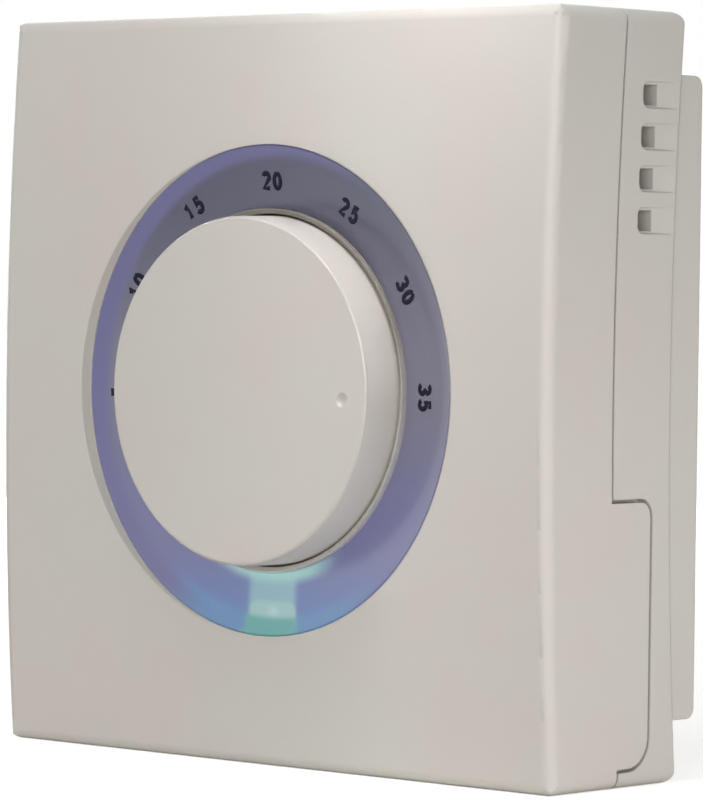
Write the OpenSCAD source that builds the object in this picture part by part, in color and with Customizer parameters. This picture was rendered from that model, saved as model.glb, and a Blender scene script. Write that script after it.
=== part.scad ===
// Wall thermostat: a bowed square front unit with a lit dial ring and a turning knob,
// plugged onto a rear base that is screwed to a wall box.
// The origin is the centre of the wall face. +X is right, +Z is up and the front faces -Y,
// so a "depth" below is a distance out from the wall, along -Y.

/* [Body] */
// Width of the body
body_w = 85; // [84:0.5:90]
// Height of the body
body_h = 86; // [84:0.5:90]
// Distance from the wall to the front face at its top and bottom edges
edge_depth = 25.1; // [24.5:0.1:26]
// How far the middle of the front bows out past those edges
front_bow = 1.7; // [1.4:0.1:2.2]
// Rounding of the edges round the front face
edge_r = 1.4; // [0.8:0.1:1.8]
// Radius of the four corners, seen from the front
corner_r = 1.5; // [1:0.1:2.5]
// Wall thickness of the front cover
cover_t = 2; // [1.8:0.1:2.2]
// Wall thickness of the rear base
base_t = 2.4; // [2.2:0.1:2.6]

/* [Seam and side tabs] */
// Distance from the front face back to the middle of the seam
seam_back = 11.4; // [11:0.1:12]
// Width of the seam between cover and base
seam_gap = 0.3; // [0.2:0.05:0.5]
// Distance from the front face back to the rear edge of the body
body_back = 21.4; // [21:0.1:22]
// Height of the tab's top edge, below the dial's centre
tab_top = 11.4; // [8:0.2:16]
// Height of the tab's bottom edge, below the dial's centre
tab_bottom = 40.8; // [38:0.2:41]
// Depth of the tab's rear edge
tab_rear = 8.6; // [7.6:0.1:9.6]
// Gap round the tab
tab_gap = 0.4; // [0.3:0.05:0.6]
// Thickness of the tab
tab_t = 1.15; // [1:0.05:1.3]
// Radius of the tab's upper rear corner
tab_upper_r = 1.7; // [1:0.1:3]
// Radius of the tab's lower rear corner
tab_lower_r = 3.4; // [2:0.1:5]

/* [Wall pad and vents] */
// Half the height of the raised pad that meets the wall
pad_half_h = 36; // [35:0.5:38]
// How far the pad's sides stand inside the body's sides
pad_inset = 0.3; // [0.2:0.1:1]
// Rounding of the pad's rear edges
pad_r = 1.3; // [0.5:0.1:1.8]
// Number of vents on each side
vents = 4; // [2:1:4]
// Height of the top vent
vent_top = 33.6; // [32:0.2:34]
// Distance from one vent to the next
vent_pitch = 4.63; // [4.2:0.01:5]
// Height of a vent hole
vent_h = 2.3; // [1.8:0.1:2.6]
// Length of a vent hole
vent_l = 2.5; // [2:0.1:3]
// Length of the ramp behind the vent hole
vent_ramp = 6.3; // [5:0.1:6.5]
// Depth of the ramp at the vent hole
vent_sink = 0.55; // [0.3:0.05:0.7]

/* [Dial ring] */
// Outer radius of the ring
ring_r = 27.95; // [27:0.05:29]
// Inner radius of the ring
ring_inner_r = 20.8; // [20.8:0.01:21]
// Depth of the ring's face at its bore
ring_face = 25.2; // [25:0.05:25.5]
// Depth of the ring's face at its outer edge
ring_rim = 26.05; // [25.8:0.05:26.2]
// Thickness of the ring at its bore
ring_t = 2.15; // [2:0.05:2.5]
// Gap round the ring
ring_gap = 0.12; // [0.1:0.01:0.3]
// Radius of the pegs that stake the ring to its bed
peg_r = 1; // [0.8:0.05:1.2]
// Width of the light window at six o'clock
window_w = 7.8; // [6:0.2:9]
// Height of the light window
window_h = 3; // [2.6:0.1:3.2]
// Gap between the back of the ring and the light window
window_gap = 0.1; // [0.05:0.05:0.3]

/* [Knob] */
// Radius of the knob
knob_r = 19.85; // [19.4:0.05:19.9]
// Depth of the knob's front face
knob_face = 30.7; // [29:0.1:33]
// Rounding of the knob's front edge
knob_edge = 0.6; // [0.3:0.1:1.2]
// How much wider the knob's skirt is at its inner end
knob_draft = 0.12; // [0:0.02:0.2]
// Distance from the knob's axis to the pointer dimple
dimple_at = 16.15; // [14:0.1:17]
// Width of the dimple
dimple_w = 1.7; // [1.4:0.1:2.4]
// Depth of the dimple
dimple_sink = 0.35; // [0.2:0.05:0.5]
// Angle of the dimple past three o'clock, at the upper end of the knob's turn
dimple_turn = 2; // [0:0.5:4]

/* [Wall fixing] */
// Spacing of the wall-box screws
fixing_pitch = 60.3; // [60.3]
// Width of a screw slot
slot_w = 4.5; // [4.2:0.1:5]
// Length of a screw slot, end to end
slot_l = 8.5; // [7:0.5:10]
// Width of the cable opening
cable_w = 30; // [24:1:34]
// Height of the cable opening
cable_h = 18; // [14:1:20]
// Height of the stiffening ribs on the floor of the base
floor_rib = 1; // [0.6:0.1:1.1]

/* [Circuit] */
// Width of the circuit board
board_w = 74; // [72:0.5:75]
// Height of the circuit board
board_h = 72; // [70:0.5:73]
// Thickness of the circuit board
board_t = 1.6; // [1.6, 1.2]
// Number of terminals
poles = 5; // [3:1:5]
// Distance from one terminal to the next
pole_pitch = 7.5; // [7:0.1:7.5]

/* [Hidden] */
$fn = 96;
bow_fn = 512;

// The front, the seam and the back of the body are arcs about one level line behind the wall
crown = edge_depth + front_bow;
bow_r = (pow(body_h / 2, 2) + pow(front_bow, 2)) / (2 * front_bow);
bow_centre = crown - bow_r;
seam_r = bow_r - seam_back;
back_r = bow_r - body_back;
function arc_depth(r, z) = bow_centre + sqrt(r * r - z * z);

// Shell
back_t = 2.2;
body_back_r = 1.2;
lip_t = 1;
lip_gap = 0.35;
lip_rise = 1.2;
catch_x = 24;
catch_l = 10;
catch_r = 0.35;
tab_cut = tab_t + 0.35;

// Pocket that the knob turns in
collar_r = 20.44;
collar_t = 0.31;
collar_rim = 25.8;
pocket_floor = 21.5;
pocket_t = 1.4;
pocket_back = pocket_floor - pocket_t;
ring_back = ring_face - ring_t;
bed_t = 1.4;
peg_angles = [62, 180, 298];
peg_end = ring_back - bed_t - 0.5;

// Circuit board, held on four posts of the front cover
board_front = pocket_back - 5;
board_rear = board_front - board_t;
post_x = 33;
post_z = 31.5;
post_r = 3;
gusset_t = 1.2;
gusset_back = crown - seam_back + lip_rise + 1.4;
screw_r = 1.1;
screw_fit = 0.03;

// Potentiometer
pot_r = 8.2;
pot_wall = 0.8;
bush_r = 3.5;
bush_end = 22;
shaft_r = 3;
shaft_fit = 0.05;
shaft_end = 28.2;
shaft_flat = 1.5;
wiper_at = board_front + 1.9;
wiper_t = 1.2;

// Terminals
block_z = -25;
block_h = 14;
block_front = 11.2;
block_w = poles * pole_pitch + 1.5;
clamp_z = -21.6;
clamp_s = 5;
clamp_depth = 5.2;
clamp_top = clamp_depth + clamp_s / 2;
socket_z = -28.6;
socket_w = 2.2;
socket_h = 1.8;
socket_floor = 4.6;
wire_r = 2.1;
terminal_screw_r = 1.5;
pin_w = 1.2;
pin_h = 0.7;
ear_w = 5.5;
barrier_h = 1.2;
lead_r = 0.35;
pole_xs = [for (i = [0 : poles - 1]) (i - (poles - 1) / 2) * pole_pitch];

// Light sources under the ring
lamp_r = 24.4;
window_z = -25.95;
backlight_angles = [35, 90, 145, 215, 325];

cream = [0.80, 0.77, 0.73];
cream_base = [0.74, 0.72, 0.67];
tint = [0.48, 0.50, 0.72, 0.75];

// ---- Shared shapes ----

// Extrudes an outline drawn as seen from the front, between two depths
module between(near, far) {
  translate([0, -near, 0]) rotate([90, 0, 0]) linear_extrude(far - near) children();
}

// Extrudes an outline drawn as depth against height, across the whole width
module across(width) {
  rotate([90, 0, -90]) translate([0, 0, -width / 2]) linear_extrude(width) children();
}

// Turns a profile drawn as radius against depth about the dial's axis
module turned() {
  rotate([90, 0, 0]) rotate_extrude() children();
}

// Sweeps a profile drawn as radius against X along the body's bow
module bowed() {
  translate([0, -bow_centre, 0]) rotate([0, 90, 0]) rotate([0, 0, -90])
    rotate_extrude(angle = 14, start = -7, $fn = bow_fn) children();
}

module rounded_rect(w, h, r) {
  square([w, h - 2 * r], center = true);
  square([w - 2 * r, h], center = true);
  for (x = [-1, 1], z = [-1, 1]) translate([x * (w / 2 - r), z * (h / 2 - r)]) circle(r);
}

module slot(l, w) {
  square([l - w, w], center = true);
  for (x = [-1, 1]) translate([x * (l - w) / 2, 0]) circle(w / 2);
}

module rod(r, near, far) {
  between(near, far) circle(r);
}

module at(x, z) {
  translate([x, 0, z]) children();
}

module both_sides() {
  for (side = [0, 1]) mirror([side, 0, 0]) children();
}

// A box given by its centre as seen from the front, its size, and its near and far depths
module block(x, z, w, h, near, far) {
  at(x, z) between(near, far) square([w, h], center = true);
}

// ---- Body outlines ----

// Everything inside a bow of radius r, as depth against height, less tall than 2 * half_h
module inside_bow(r, half_h) {
  intersection() {
    translate([bow_centre, 0]) circle(r, $fn = bow_fn);
    translate([0, -half_h]) square([crown + 1, 2 * half_h]);
  }
}

// Side view of the front: the bow with its top and bottom edges rounded into it
module front_side(r, half_h, e) {
  touch = (half_h - e) * r / (r - e);
  inside_bow(r, touch);
  translate([0, -half_h]) square([arc_depth(r - e, half_h - e), 2 * half_h]);
  for (s = [-1, 1]) translate([arc_depth(r - e, half_h - e), s * (half_h - e)]) circle(e);
}

// Top view of the front: its left and right edges rounded, from radius r down to r - l
module front_top(r, w, l, e) {
  translate([r - l, -w / 2]) square([l - e, w]);
  translate([r - l, e - w / 2]) square([l, w - 2 * e]);
  for (s = [-1, 1]) translate([r - e, s * (w / 2 - e)]) circle(e);
}

module front_block(r, w, h, l, e, c) {
  intersection() {
    bowed() front_top(r, w, l, e);
    across(w + 2) front_side(r, h / 2, e);
    between(0, crown + 1) rounded_rect(w, h, c);
  }
}

// Outline of the side tab, as depth against height, grown by g
module tab_outline(g) {
  rear = tab_rear - g;
  top = g - tab_top;
  bottom = -tab_bottom - g;
  upper = tab_upper_r + g;
  lower = tab_lower_r + g;
  front = crown - seam_back + 2;
  translate([rear + lower, bottom]) square([front - rear - lower, top - bottom]);
  translate([rear, bottom + lower]) square([lower, top - bottom - lower - upper]);
  translate([rear + upper, top - upper - 1]) square([lower - upper, upper + 1]);
  translate([rear + upper, top - upper]) circle(upper);
  translate([rear + lower, bottom + lower]) circle(lower);
}

// ---- Front unit ----

module cover_shell() {
  difference() {
    front_block(bow_r, body_w, body_h, seam_back - seam_gap / 2, edge_r, corner_r);
    front_block(bow_r - cover_t, body_w - 2 * cover_t, body_h - 2 * cover_t, seam_back, 0.5, 0.8);
  }
}

module side_tab() {
  intersection() {
    across(body_w) tab_outline(0);
    translate([body_w / 2 - tab_t, -crown, -body_h / 2]) cube([tab_t, crown, body_h]);
  }
}

// Bed of the ring, the knob's pocket and its collar, as radius against depth
module pocket_section() {
  translate([0, pocket_back]) square([collar_r + 1.5, pocket_t]);
  translate([collar_r, pocket_floor]) square([1.5, ring_back - pocket_floor]);
  translate([collar_r, ring_back - 0.2]) square([collar_t, collar_rim - ring_back + 0.2]);
  translate([collar_r, ring_back - bed_t]) square([ring_r + 1.6 - collar_r, bed_t]);
  translate([ring_r + ring_gap, ring_back - bed_t]) square([1.5, crown - 2 - ring_back + bed_t]);
}

// Windows in the ring's bed that let the backlight through
module bed_windows() {
  for (a = backlight_angles) rotate([0, -a, 0]) at(lamp_r, 0)
    between(ring_back - bed_t - 1, ring_back + 1) rounded_rect(4.4, 9, 1.2);
  at(0, window_z) between(ring_back - bed_t - 1, ring_back + 1)
    square([window_w + 0.5, window_h + 0.5], center = true);
}

// Ribs that tie a post to the two nearest walls, clear of the base's lip
module gussets(side) {
  wall_x = body_w / 2 - cover_t / 2 - post_x;
  wall_z = body_h / 2 - cover_t / 2 - post_z;
  block(wall_x / 2, 0, wall_x, gusset_t, gusset_back, edge_depth - 0.8);
  block(0, side * wall_z / 2, gusset_t, wall_z, gusset_back, edge_depth - 1.2);
}

// Rods at the places of the ring's pegs
module ring_pegs(r, near, far) {
  for (a = peg_angles) rotate([0, -a, 0]) at(lamp_r, 0) rod(r, near, far);
}

// The ring's opening, chamfered where the bow of the front stands above the ring's rim
module ring_opening() turned() polygon([
  [0, pocket_back],
  [ring_r + ring_gap, pocket_back],
  [ring_r + ring_gap, ring_rim],
  [ring_r + ring_gap + 2, ring_rim + 2],
  [0, ring_rim + 2]
]);

module front_cover() color(cream) {
  difference() {
    union() {
      difference() {
        cover_shell();
        ring_opening();
      }
      turned() pocket_section();
      both_sides() side_tab();
      both_sides() for (z = [-1, 1]) at(post_x, z * post_z) {
        rod(post_r, board_front, edge_depth - 0.8);
        gussets(z);
      }
    }
    bed_windows();
    ring_pegs(peg_r + 0.03, peg_end - 1, ring_back + 1);
    rod(bush_r + 0.15, pocket_back - 1, pocket_floor + 1);
    for (x = [-1, 1], z = [-1, 1]) at(x * post_x, z * post_z)
      rod(screw_r + screw_fit, board_front - 1, board_front + 7);
  }
}

module window_outline() {
  r = 1;
  translate([-window_w / 2, -window_h / 2]) square([window_w, window_h - r]);
  translate([r - window_w / 2, -window_h / 2]) square([window_w - 2 * r, window_h]);
  for (s = [-1, 1]) translate([s * (window_w / 2 - r), window_h / 2 - r]) circle(r);
}

// The ring's face is a shallow dish, and three pegs behind it are staked into the bed
module dial_ring() color(tint) {
  turned() polygon([
    [ring_inner_r, ring_back],
    [ring_r, ring_back],
    [ring_r, ring_rim - 0.1],
    [ring_r - 0.1, ring_rim],
    [ring_inner_r + 0.15, ring_face],
    [ring_inner_r, ring_face - 0.15]
  ]);
  ring_pegs(peg_r, peg_end, ring_back + 0.5);
}

module light_window() color("honeydew") at(0, window_z)
  between(board_front + 1.6, ring_back - window_gap) window_outline();

module circuit_board() color("darkgreen") difference() {
  between(board_rear, board_front) rounded_rect(board_w, board_h, 2);
  for (x = [-1, 1], z = [-1, 1]) at(x * post_x, z * post_z)
    rod(screw_r + 0.2, board_rear - 1, board_front + 1);
}

module board_screws() color("silver") for (x = [-1, 1], z = [-1, 1]) at(x * post_x, z * post_z)
  difference() {
    union() {
      rod(screw_r, board_rear - 0.2, board_front + 6);
      rod(2.1, board_rear - 1.5, board_rear);
    }
    block(0, 0, 3, 0.5, board_rear - 2, board_rear - 0.9);
    block(0, 0, 0.5, 3, board_rear - 2, board_rear - 0.9);
  }

module contact_pins() color("goldenrod") for (x = pole_xs) {
  block(x, socket_z, pin_w, pin_h, socket_floor + 1, board_rear);
  block(x, socket_z, 3.2, 2.6, board_rear - 1.6, board_rear);
}

// Trapezium that chamfers the two top edges of a case, as depth against its half width
module chamfer_outline(half_w, tall, c) {
  low = half_w - c - 1;
  high = half_w - c + tall + 1;
  polygon([
    [board_rear - tall - 1, -low],
    [board_rear + 1, -high],
    [board_rear + 1, high],
    [board_rear - tall - 1, low]
  ]);
}

// Case with chamfered top edges on the rear of the board, held off it by the given gap
module rear_case(x, z, w, h, tall, c, off = 0) {
  at(x, z) intersection() {
    between(board_rear - tall, board_rear - off) rounded_rect(w, h, 0.5);
    across(w + 2) chamfer_outline(h / 2, tall, c);
    rotate([0, 90, 0]) across(h + 2) chamfer_outline(w / 2, tall, c);
  }
}

// Lead of a part on the rear of the board, down to it from the given height
module lead(x, z, height) {
  at(x, z) rod(lead_r, board_rear - height, board_rear);
}

module relay() color("royalblue") {
  rear_case(-19, 23, 20, 10.2, 9.8, 0.7, 0.4);
  block(-19, 23, 20.6, 10.8, board_rear - 1.3, board_rear - 0.4);
  for (x = [-27, -11], z = [19.5, 26.5]) block(x, z, 0.9, 0.6, board_rear - 1, board_rear);
}

module dropper_capacitor() color("khaki") {
  rear_case(8, 27, 17.5, 8, 9.5, 0.5, 0.5);
  for (x = [0.5, 15.5], z = [24, 30]) block(x, z, 1.6, 1.2, board_rear - 1, board_rear);
}

// Can with a pinched waist over its seal and a rolled top edge
module smoothing_capacitors() color("darkslategray") for (x = [7, 18]) at(x, 15.5) turned() {
  translate([0, board_rear - 1.3]) square([4, 1.3]);
  translate([0, board_rear - 2.4]) square([3.6, 1.2]);
  translate([0, board_rear - 9.3]) square([4, 7]);
  translate([0, board_rear - 9.8]) square([3.5, 0.6]);
  translate([3.5, board_rear - 9.3]) circle(0.5, $fn = 24);
}

// Coated disc on edge
module varistor() color("darkorange") {
  translate([29, 5.6 - board_rear, 20]) rotate([0, 90, 0]) rotate_extrude() {
    translate([0, -1.7]) square([3.5, 3.4]);
    translate([0, -0.6]) square([4.6, 1.2]);
    for (s = [-1, 1]) translate([3.5, 0.6 * s]) circle(1.1, $fn = 32);
  }
  for (s = [-1, 1]) lead(29, 20 + 2.5 * s, 3);
}

module fuse() color("maroon") {
  at(-4, 12) turned() polygon([
    [0, board_rear - 7.6],
    [3.5, board_rear - 7.6],
    [4.1, board_rear - 7],
    [4.1, board_rear - 1.4],
    [4.3, board_rear - 1.4],
    [4.3, board_rear - 0.4],
    [0, board_rear - 0.4]
  ]);
  for (s = [-1, 1]) lead(2.5 * s - 4, 12, 1);
}

// Film resistors with the end caps wider than the body between them
module power_resistors() color("lightblue") for (z = [14.5, 9.5]) {
  translate([-22, 2.3 - board_rear, z]) rotate([0, 90, 0]) {
    cylinder(r = 1.55, h = 8, center = true);
    cylinder(r = lead_r, h = 13 + 2 * lead_r, center = true);
    for (s = [-1, 1]) translate([0, 0, 3.4 * s]) cylinder(r = 1.85, h = 2, center = true);
  }
  for (s = [-1, 1]) lead(6.5 * s - 22, z, 2.3);
}

module bridge_rectifier() color("dimgray") {
  rear_case(31, 7.5, 6.2, 5, 2.6, 0.4);
  for (x = [-2, 2], s = [-1, 1])
    block(31 + x, 7.5 + 3 * s, 0.7, 1.6, board_rear - 0.4, board_rear);
}

// Flat chip package on the front of the board, with rows of leads on its two long sides
module front_chip(x, z, w, h, tall, leads) {
  pitch = w / leads;
  block(x, z, w, h, board_front + 0.15, board_front + tall);
  for (i = [0 : leads - 1], s = [-1, 1]) {
    lead_x = x + (i + 0.5) * pitch - w / 2;
    block(lead_x, z + s * (h / 2 + 0.2), 0.4, 0.7, board_front + 0.6, board_front + 0.85);
    block(lead_x, z + s * (h / 2 + 0.45), 0.4, 0.25, board_front, board_front + 0.85);
    block(lead_x, z + s * (h / 2 + 0.7), 0.4, 0.7, board_front, board_front + 0.25);
  }
}

module microcontroller() color("dimgray") front_chip(29, -8, 10, 4, 1.6, 8);

module voltage_regulator() color("dimgray") front_chip(-30, -14, 4.5, 2.6, 1.6, 3);

module chip_resistors() color("black") {
  for (i = [0 : 5]) block(-30, 4 + 3 * i, 2, 1.25, board_front, board_front + 0.55);
  for (i = [0 : 5]) block(-14 + 3 * i, 33, 1.25, 2, board_front, board_front + 0.55);
}

module thermistor() color("saddlebrown") {
  translate([-16, -board_front - 4, -33]) sphere(1.3);
  for (s = [-0.6, 0.6]) at(s - 16, -33) rod(0.25, board_front, board_front + 3.5);
}

module status_lamp() color("palegreen") {
  block(0, window_z, 3.2, 2.4, board_front, board_front + 1.3);
}

module backlight_lamps() color("lightyellow") for (a = backlight_angles)
  rotate([0, -a, 0]) block(lamp_r, 0, 2.8, 3.5, board_front, board_front + 1.9);

module pot_housing() color("gray") difference() {
  rod(pot_r, board_front, pocket_back);
  rod(pot_r - pot_wall, board_front + pot_wall, pocket_back - pot_wall);
  rod(shaft_r + 0.3, pocket_back - pot_wall - 1, pocket_back + 1);
}

module pot_track() color("peru") difference() {
  rod(pot_r - pot_wall - 0.1, board_front + pot_wall, board_front + pot_wall + 0.7);
  rod(2.2, board_front, board_front + pot_wall + 1);
}

module pot_bush() color("goldenrod") difference() {
  rod(bush_r, pocket_back, bush_end);
  rod(shaft_r + shaft_fit, pocket_back - 1, bush_end + 1);
}

// ---- Knob ----

// Round shaft with a flat on its upper side from the given depth on
module shaft_outline(r, flat) {
  intersection() {
    circle(r);
    translate([-r, -r]) square([2 * r, r + flat]);
  }
}

module knob() color(cream) {
  rim = pocket_floor + 0.7;
  front_t = 1.8;
  skirt_t = 1.7;
  dimple_ball = (pow(dimple_w / 2, 2) + pow(dimple_sink, 2)) / (2 * dimple_sink);
  difference() {
    union() {
      turned() {
        translate([0, knob_face - front_t]) square([knob_r - knob_edge, front_t]);
        polygon([
          [knob_r - skirt_t, rim],
          [knob_r + knob_draft, rim],
          [knob_r, knob_face - knob_edge],
          [knob_r - skirt_t, knob_face - knob_edge]
        ]);
        translate([knob_r - knob_edge, knob_face - knob_edge]) circle(knob_edge);
        translate([knob_r - skirt_t, knob_face - 3]) square([skirt_t - knob_edge, 3]);
      }
      rod(5.2, bush_end + 1.5, knob_face - 1);
      for (a = [0 : 60 : 300]) rotate([0, a, 0]) block(11.5, 0, 15, 1.2, rim + 2.5, knob_face - 1);
    }
    between(rim - 1, shaft_end + 0.3) shaft_outline(shaft_r + 0.02, shaft_flat + 0.02);
    rotate([0, dimple_turn, 0]) translate([dimple_at, -knob_face - dimple_ball + dimple_sink, 0])
      sphere(dimple_ball);
  }
}

module knob_shaft() color("silver") {
  rod(shaft_r, wiper_at, bush_end + 1.3);
  between(bush_end, shaft_end) shaft_outline(shaft_r, shaft_flat);
}

module pot_wiper() color("ivory") difference() {
  rod(pot_r - pot_wall - 0.9, wiper_at, wiper_at + wiper_t);
  rod(shaft_r, wiper_at - 1, wiper_at + wiper_t + 1);
}

module shaft_clip() color("silver") difference() {
  rod(shaft_r + 1.4, bush_end + 0.2, bush_end + 0.8);
  rod(shaft_r, bush_end, bush_end + 1);
  block(0, -shaft_r, 2.4, 4, bush_end, bush_end + 1);
}

// ---- Base ----

// Side view of the tray, from its back arc to the seam, with its two rear corners rounded
module tray_side(r, half_h) {
  e = body_back_r;
  corner = arc_depth(back_r, half_h - e) + e;
  difference() {
    inside_bow(r, half_h);
    translate([bow_centre, 0]) circle(back_r, $fn = bow_fn);
    for (s = [0, 1]) mirror([0, s]) translate([corner, half_h - e]) difference() {
      translate([-2 * e, 0]) square(2 * e);
      circle(e);
    }
  }
}

module pad_side() {
  translate([pad_r, -pad_half_h]) square([6.5 - pad_r, 2 * pad_half_h]);
  translate([0, pad_r - pad_half_h]) square([6.5, 2 * (pad_half_h - pad_r)]);
  for (s = [-1, 1]) translate([pad_r, s * (pad_half_h - pad_r)]) circle(pad_r);
}

module base_hollow() {
  w = body_w - 2 * base_t;
  intersection() {
    across(body_w) difference() {
      inside_bow(bow_r, body_h / 2);
      translate([bow_centre, 0]) circle(back_r + back_t, $fn = bow_fn);
    }
    between(0, crown) rounded_rect(w, body_h - 2 * base_t, 0.8);
  }
  between(back_t, 8.5) rounded_rect(w, 2 * (pad_half_h - base_t), 0.8);
}

// Inner lip of the base that stands behind the seam, inside the cover
module seam_lip() {
  w = body_w - 2 * (cover_t + lip_gap);
  h = body_h - 2 * (cover_t + lip_gap);
  difference() {
    intersection() {
      across(body_w) inside_bow(seam_r + lip_rise, body_h / 2);
      between(10, crown) rounded_rect(w, h, 0.8);
    }
    between(9, crown + 1) rounded_rect(w - 2 * lip_t, h - 2 * lip_t, 0.5);
  }
}

// Round-topped ridges on the lip, two above and two below, that hold the cover by friction
module catches() {
  z = body_h / 2 - cover_t - lip_gap - catch_r + 0.2;
  for (x = [-1, 1], s = [-1, 1]) translate([x * catch_x, -arc_depth(seam_r, z), s * z])
    rotate([0, 90, 0]) cylinder(r = catch_r, h = catch_l, center = true, $fn = 32);
}

// Ladder of low ribs that stiffens the floor above the cable opening
module floor_ribs() {
  for (s = [-1, 1]) block(19 * s, 21.6, 1.2, 24, back_t - 1, back_t + floor_rib);
  for (z = [15, 23, 31]) block(0, z, 38, 1.2, back_t - 1, back_t + floor_rib);
}

// Vent: a hole with rounded front corners, and a ramp from it that runs out to the side's surface
module vent_outline(h, l, r) {
  translate([-l, -h / 2]) square([l - r, h]);
  translate([-l, r - h / 2]) square([l, h - 2 * r]);
  for (s = [-1, 1]) translate([-r, s * (h / 2 - r)]) circle(r, $fn = 32);
}

module vent(z) {
  front = arc_depth(seam_r, z) - 3.75;
  translate([body_w / 2, -front, z]) rotate([90, 0, -90]) translate([0, 0, -1])
    linear_extrude(base_t + 3) vent_outline(vent_h, vent_l, 0.6);
  translate([body_w / 2, vent_ramp - front - 0.3, z]) rotate([0, 0, -atan(vent_sink / vent_ramp)])
    rotate([90, 0, 90]) mirror([1, 0, 0]) linear_extrude(2)
      translate([vent_ramp, 0]) vent_outline(vent_h + 0.6, vent_ramp, 0.9);
}

module rear_base() color(cream_base) {
  difference() {
    union() {
      difference() {
        union() {
          intersection() {
            across(body_w + 2) tray_side(seam_r - seam_gap / 2, body_h / 2);
            between(0, crown) rounded_rect(body_w, body_h, corner_r);
          }
          intersection() {
            across(body_w) pad_side();
            between(-1, 8) rounded_rect(body_w - 2 * pad_inset, 2 * pad_half_h + 1, 0.8);
          }
        }
        base_hollow();
      }
      seam_lip();
      catches();
      floor_ribs();
      for (s = [-1, 1]) at(s * (block_w + ear_w) / 2, block_z) rod(2.4, 1, 5.5);
    }
    both_sides() intersection() {
      across(body_w + 2) tab_outline(tab_gap);
      translate([body_w / 2 - tab_cut, -crown, -body_h / 2]) cube([tab_cut + 1, crown, body_h]);
    }
    both_sides() for (i = [0 : vents - 1]) vent(vent_top - i * vent_pitch);
    between(-1, back_t + 1) rounded_rect(cable_w, cable_h, 2);
    for (s = [-1, 1]) at(s * fixing_pitch / 2, 0) between(-1, back_t + 1) slot(slot_l, slot_w);
    for (s = [-1, 1]) at(s * (block_w + ear_w) / 2, block_z) rod(screw_r + screw_fit, 1.2, 6);
  }
}

module terminal_block() color("whitesmoke") difference() {
  union() {
    block(0, block_z, block_w, block_h, back_t, block_front);
    block(0, block_z, block_w + 2 * ear_w, 6, 5.5, 7);
    for (i = [0 : poles]) block((i - poles / 2) * pole_pitch, block_z, 1, block_h - 1.6,
                                block_front - 1, block_front + barrier_h);
  }
  for (x = pole_xs) {
    translate([x, -clamp_depth, clamp_z]) cylinder(r = wire_r, h = 20);
    translate([x, -clamp_depth, block_z + block_h / 2 - 0.7]) cylinder(r1 = wire_r, r2 = wire_r + 1, h = 1);
    block(x, clamp_z, clamp_s + 0.2, clamp_s + 0.2, clamp_depth - clamp_s / 2, clamp_top + 0.4);
    at(x, clamp_z) rod(2.3, clamp_depth, block_front + 1);
    block(x, socket_z, socket_w + 1.2, socket_h + 1, socket_floor, block_front + 1);
  }
  for (s = [-1, 1]) at(s * (block_w + ear_w) / 2, block_z) rod(screw_r + 0.2, 5, 8);
}

module block_screws() color("silver") for (s = [-1, 1]) at(s * (block_w + ear_w) / 2, block_z)
  difference() {
    union() {
      rod(screw_r, 1.6, 7.2);
      rod(2.1, 7, 8.6);
    }
    block(0, 0, 3, 0.5, 8, 9);
    block(0, 0, 0.5, 3, 8, 9);
  }

module wire_clamps() color("gold") for (x = pole_xs) difference() {
  block(x, clamp_z, clamp_s, clamp_s, clamp_depth - clamp_s / 2, clamp_top);
  translate([x, -clamp_depth + 0.3, clamp_z]) cylinder(r = 1.7, h = 20, center = true);
  at(x, clamp_z) rod(terminal_screw_r + screw_fit, clamp_depth, block_front);
}

module terminal_screws() color("silver") for (x = pole_xs) at(x, clamp_z) difference() {
  union() {
    rod(terminal_screw_r, clamp_depth + 0.6, block_front - 1.5);
    rod(2.1, block_front - 2.6, block_front - 0.6);
  }
  block(0, 0, 5, 0.6, block_front - 1.5, block_front);
}

module contact_sockets() color("gold") for (x = pole_xs) for (s = [-1, 1])
  block(x + s * (pin_w / 2 + 0.45), socket_z, 0.5, 1.6, socket_floor, block_front - 0.8);

front_cover();
dial_ring();
light_window();
knob();
rear_base();
terminal_block();
block_screws();
wire_clamps();
terminal_screws();
contact_sockets();
circuit_board();
board_screws();
contact_pins();
relay();
dropper_capacitor();
smoothing_capacitors();
varistor();
fuse();
power_resistors();
bridge_rectifier();
voltage_regulator();
microcontroller();
chip_resistors();
thermistor();
status_lamp();
backlight_lamps();
pot_housing();
pot_track();
pot_bush();
pot_wiper();
knob_shaft();
shaft_clip();
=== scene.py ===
import math

import bpy
from mathutils import Matrix, Vector


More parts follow.
